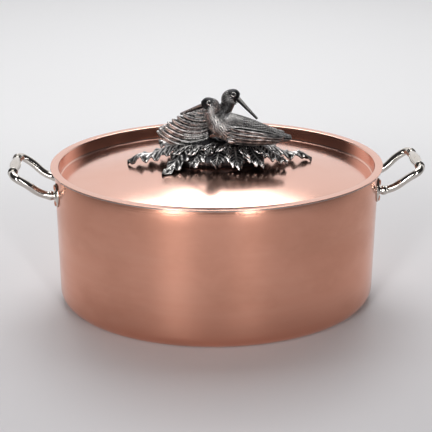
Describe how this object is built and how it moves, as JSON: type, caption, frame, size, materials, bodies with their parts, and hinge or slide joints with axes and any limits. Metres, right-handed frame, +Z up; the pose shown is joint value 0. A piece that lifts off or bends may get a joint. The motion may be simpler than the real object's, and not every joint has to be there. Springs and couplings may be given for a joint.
{
  "type": "oval copper braising pot",
  "caption": "Oval copper pot with tin lining, two cast loop handles and a sunk domed lid that lifts off, topped by a cast finial of two long-billed birds on leaves.",
  "frame": {"origin": "middle of the flat underside", "axes": "+X along the oval from the left handle to the right handle, +Y away from the viewer across the oval, +Z up"},
  "size_m": [0.3874, 0.2414, 0.2072],
  "materials": {
    "copper": "brushed and lightly polished copper",
    "tin": "wiped tin",
    "handle_metal": "polished cast white metal",
    "rivet_copper": "hammered copper",
    "dark_silver": "oxidised silvery casting with bright edges",
    "steel": "plain steel"
  },
  "bodies": {
    "pot": {"pot_body": "copper", "pot_lining": "tin", "left_handle": "handle_metal", "right_handle": "handle_metal", "left_handle_rivets": "rivet_copper", "right_handle_rivets": "rivet_copper"},
    "lid": {"lid_pan": "copper", "lid_lining": "tin", "finial_leaf_base": "dark_silver", "front_bird": "dark_silver", "rear_bird": "dark_silver", "finial_studs": "steel", "finial_washers": "steel", "finial_nuts": "steel"}
  },
  "joints": [
    {"name": "lid_lift", "type": "slide", "parent": "pot", "child": "lid", "axis": [0, 0, 1], "range_m": [0, 0.12]}
  ]
}
